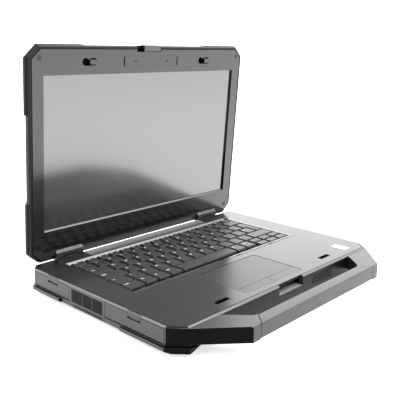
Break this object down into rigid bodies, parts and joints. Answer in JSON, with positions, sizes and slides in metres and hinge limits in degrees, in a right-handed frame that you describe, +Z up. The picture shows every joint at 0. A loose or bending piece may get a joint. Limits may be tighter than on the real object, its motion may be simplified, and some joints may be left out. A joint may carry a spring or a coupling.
{
  "type": "rugged laptop computer",
  "caption": "Rugged clamshell laptop with a fixed front carry handle, corner bumpers, hinged port doors and a latching lid.",
  "frame": {"origin": "under the middle of the bounding box with the lid open, on the surface that the feet stand on", "axes": "+X to the right of the person at the keyboard, +Y away from them towards the hinges, +Z up"},
  "size_m": [0.3556, 0.2942, 0.2764],
  "materials": {
    "casing_plastic": "fine textured moulded plastic",
    "deck_paint": "satin dark grey paint",
    "lid_casing": "textured dark grey paint",
    "bezel_plastic": "matte",
    "handle_plastic": "fine textured moulded plastic",
    "bumper_rubber": "matte",
    "foot_rubber": "matte",
    "key_plastic": "matte, worn slightly shiny",
    "touchpad_surface": "smooth matte",
    "hinge_plastic": "fine textured",
    "satin_bar": "satin",
    "bright_metal": "brushed",
    "screw_steel": "blackened",
    "screen_surface": "anti-glare, opaque",
    "plate_metal": "mill finish",
    "board_green": "solder mask",
    "port_black": "moulded",
    "fan_plastic": "moulded",
    "copper": "bare copper"
  },
  "bodies": {
    "base": {"base_lower_shell": "casing_plastic", "base_upper_frame": "casing_plastic", "palm_rest_deck": "deck_paint", "handle_arm_left": "handle_plastic", "handle_arm_right": "handle_plastic", "handle_grip_bar": "handle_plastic", "keyboard_frame": "bezel_plastic", "keyboard_plate": "plate_metal", "touchpad": "touchpad_surface", "hinge_towers": "hinge_plastic", "hinge_bar_cover": "satin_bar", "latch_recess_lip": "bright_metal", "side_vent_grille": "casing_plastic", "speaker_grille": "casing_plastic", "side_ports": "port_black", "rear_connectors": "port_black", "dock_connector": "port_black", "lower_corner_bumpers": "bumper_rubber", "rubber_feet": "foot_rubber", "base_screws": "screw_steel", "mainboard": "board_green", "memory_modules": "board_green", "wireless_card": "board_green", "solid_state_drive": "plate_metal", "battery_pack": "port_black", "fan_housing": "fan_plastic", "heat_sink": "copper", "speaker": "port_black"},
    "touchpad_button_left": {"touchpad_button_left": "touchpad_surface"},
    "touchpad_button_right": {"touchpad_button_right": "touchpad_surface"},
    "fan_rotor": {"fan_rotor": "fan_plastic"},
    "left_front_door": {"left_front_door": "casing_plastic"},
    "left_rear_door": {"left_rear_door": "casing_plastic"},
    "right_front_door": {"right_front_door": "casing_plastic"},
    "right_rear_door": {"right_rear_door": "casing_plastic"},
    "left_front_catch": {"left_front_catch": "casing_plastic"},
    "left_rear_catch": {"left_rear_catch": "casing_plastic"},
    "right_front_catch": {"right_front_catch": "casing_plastic"},
    "right_rear_catch": {"right_rear_catch": "casing_plastic"},
    "lid": {"lid_back_cover": "lid_casing", "lid_bezel": "bezel_plastic", "lcd_panel": "screen_surface", "display_back_plate": "plate_metal", "lid_corner_bumpers": "bumper_rubber", "lid_hinge_arms": "hinge_plastic", "hinge_pins": "bright_metal", "bezel_screws": "screw_steel", "microphone_panel": "bezel_plastic"},
    "lid_latch": {"lid_latch_tab": "lid_casing", "lid_latch_hooks": "bezel_plastic"},
    "keys_function_row": {"keys_function_row": "key_plastic"},
    "keys_number_row": {"keys_number_row": "key_plastic"},
    "keys_top_letter_row": {"keys_top_letter_row": "key_plastic"},
    "keys_home_row": {"keys_home_row": "key_plastic"},
    "keys_bottom_letter_row": {"keys_bottom_letter_row": "key_plastic"},
    "keys_modifier_row": {"keys_modifier_row": "key_plastic"},
    "keys_arrow_cluster": {"keys_arrow_cluster": "key_plastic"},
    "key_enter": {"key_enter": "key_plastic"},
    "key_space_bar": {"key_space_bar": "key_plastic"}
  },
  "joints": [
    {"name": "lid_hinge", "type": "hinge", "parent": "base", "child": "lid", "pos_m": [0, 0.1334, 0.036], "axis": [-1, 0, 0], "range_deg": [-86.2, 50]},
    {"name": "latch_slide", "type": "slide", "parent": "lid", "child": "lid_latch", "axis": [-1, 0, 0], "range_m": [0, 0.004], "stiffness_N_per_m": 400},
    {"name": "keys_function_row_press", "type": "slide", "parent": "base", "child": "keys_function_row", "axis": [0, 0, -1], "range_m": [0, 0.002], "stiffness_N_per_m": 1500},
    {"name": "keys_number_row_press", "type": "slide", "parent": "base", "child": "keys_number_row", "axis": [0, 0, -1], "range_m": [0, 0.002], "stiffness_N_per_m": 1500},
    {"name": "keys_top_letter_row_press", "type": "slide", "parent": "base", "child": "keys_top_letter_row", "axis": [0, 0, -1], "range_m": [0, 0.002], "stiffness_N_per_m": 1500},
    {"name": "keys_home_row_press", "type": "slide", "parent": "base", "child": "keys_home_row", "axis": [0, 0, -1], "range_m": [0, 0.002], "stiffness_N_per_m": 1500},
    {"name": "keys_bottom_letter_row_press", "type": "slide", "parent": "base", "child": "keys_bottom_letter_row", "axis": [0, 0, -1], "range_m": [0, 0.002], "stiffness_N_per_m": 1500},
    {"name": "keys_modifier_row_press", "type": "slide", "parent": "base", "child": "keys_modifier_row", "axis": [0, 0, -1], "range_m": [0, 0.002], "stiffness_N_per_m": 900},
    {"name": "keys_arrow_cluster_press", "type": "slide", "parent": "base", "child": "keys_arrow_cluster", "axis": [0, 0, -1], "range_m": [0, 0.002], "stiffness_N_per_m": 900},
    {"name": "key_enter_press", "type": "slide", "parent": "base", "child": "key_enter", "axis": [0, 0, -1], "range_m": [0, 0.002], "stiffness_N_per_m": 300},
    {"name": "key_space_bar_press", "type": "slide", "parent": "base", "child": "key_space_bar", "axis": [0, 0, -1], "range_m": [0, 0.002], "stiffness_N_per_m": 300},
    {"name": "touchpad_left_click", "type": "slide", "parent": "base", "child": "touchpad_button_left", "axis": [0, 0, -1], "range_m": [0, 0.0008], "stiffness_N_per_m": 900},
    {"name": "touchpad_right_click", "type": "slide", "parent": "base", "child": "touchpad_button_right", "axis": [0, 0, -1], "range_m": [0, 0.0008], "stiffness_N_per_m": 900},
    {"name": "left_front_door_hinge", "type": "hinge", "parent": "base", "child": "left_front_door", "pos_m": [-0.174, -0.0465, 0.0137], "axis": [0, -1, 0], "range_deg": [0, 95]},
    {"name": "left_front_catch_slide", "type": "slide", "parent": "left_front_door", "child": "left_front_catch", "axis": [0, 0, -1], "range_m": [0, 0.002], "stiffness_N_per_m": 300},
    {"name": "left_rear_door_hinge", "type": "hinge", "parent": "base", "child": "left_rear_door", "pos_m": [-0.174, 0.08575, 0.0137], "axis": [0, -1, 0], "range_deg": [0, 95]},
    {"name": "left_rear_catch_slide", "type": "slide", "parent": "left_rear_door", "child": "left_rear_catch", "axis": [0, 0, -1], "range_m": [0, 0.002], "stiffness_N_per_m": 300},
    {"name": "right_front_door_hinge", "type": "hinge", "parent": "base", "child": "right_front_door", "pos_m": [0.174, -0.0465, 0.0137], "axis": [0, 1, 0], "range_deg": [0, 95]},
    {"name": "right_front_catch_slide", "type": "slide", "parent": "right_front_door", "child": "right_front_catch", "axis": [0, 0, -1], "range_m": [0, 0.002], "stiffness_N_per_m": 300},
    {"name": "right_rear_door_hinge", "type": "hinge", "parent": "base", "child": "right_rear_door", "pos_m": [0.174, 0.08575, 0.0137], "axis": [0, 1, 0], "range_deg": [0, 95]},
    {"name": "right_rear_catch_slide", "type": "slide", "parent": "right_rear_door", "child": "right_rear_catch", "axis": [0, 0, -1], "range_m": [0, 0.002], "stiffness_N_per_m": 300},
    {"name": "fan_spin", "type": "hinge", "parent": "base", "child": "fan_rotor", "pos_m": [-0.125, 0.0375, 0.013], "axis": [0, 0, 1], "continuous": true}
  ]
}
